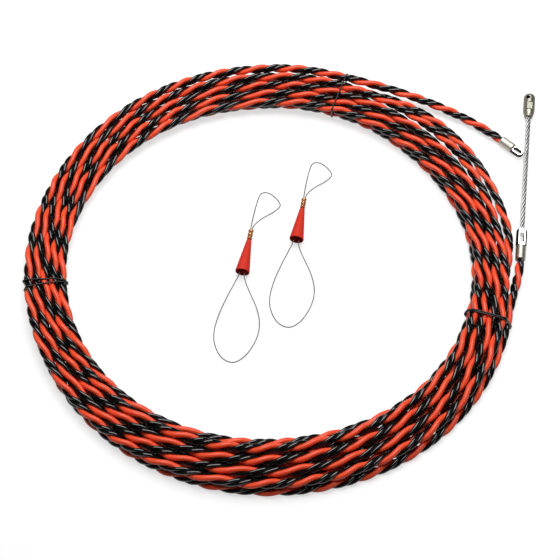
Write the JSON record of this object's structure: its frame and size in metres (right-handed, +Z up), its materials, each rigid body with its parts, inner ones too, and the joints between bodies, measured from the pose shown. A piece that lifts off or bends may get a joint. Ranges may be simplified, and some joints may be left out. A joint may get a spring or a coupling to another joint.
{
  "type": "fish tape",
  "caption": "Hoop of twisted strand fish tape held by wire ties, with a screw-on wire rope leader, a slotted tail eye and loose noose pullers with sliding cones.",
  "frame": {"origin": "centre of the hoop, on the surface that it lies on", "axes": "+Z up out of the hoop's plane, +X towards the side where the leader lies, +Y towards the leader's tip"},
  "size_m": [0.3534, 0.3211, 0.0139],
  "materials": {
    "tape": "gloss",
    "fitting": "nickel plated",
    "wire_rope": "drawn wire",
    "tie_wire": "black coating",
    "noose_wire": "drawn wire",
    "crimp": "bare copper",
    "cone": "matt"
  },
  "bodies": {
    "hoop": {"tape_coil": "tape", "tape_lead": "tape", "tape_tail": "tape", "lead_ferrule": "fitting", "tail_ferrule": "fitting", "tail_eye": "fitting", "tie_top": "tie_wire", "tie_left": "tie_wire", "tie_right": "tie_wire"},
    "leader": {"leader_connector": "fitting", "leader_rope": "wire_rope", "leader_tip": "fitting"},
    "puller_1": {"puller_1_noose": "noose_wire", "puller_1_pull_loop": "noose_wire", "puller_1_crimp": "crimp"},
    "cone_1": {"puller_1_cone": "cone"},
    "puller_2": {"puller_2_noose": "noose_wire", "puller_2_pull_loop": "noose_wire", "puller_2_crimp": "crimp"},
    "cone_2": {"puller_2_cone": "cone"}
  },
  "joints": [
    {"name": "leader_turn", "type": "hinge", "parent": "hoop", "child": "leader", "pos_m": [0.16743, 0.00166, 0.0041], "axis": [0.1495, 0.9888, 0], "continuous": true},
    {"name": "puller_1_lift", "type": "slide", "parent": "hoop", "child": "puller_1", "axis": [0, 0, 1], "range_m": [0, 0.06]},
    {"name": "cone_1_slide", "type": "slide", "parent": "puller_1", "child": "cone_1", "axis": [-0.1736, -0.9848, 0], "range_m": [0, 0.025], "deforming": ["puller_1_noose"]},
    {"name": "puller_2_lift", "type": "slide", "parent": "hoop", "child": "puller_2", "axis": [0, 0, 1], "range_m": [0, 0.06]},
    {"name": "cone_2_slide", "type": "slide", "parent": "puller_2", "child": "cone_2", "axis": [-0.1736, -0.9848, 0], "range_m": [0, 0.025], "deforming": ["puller_2_noose"]}
  ]
}
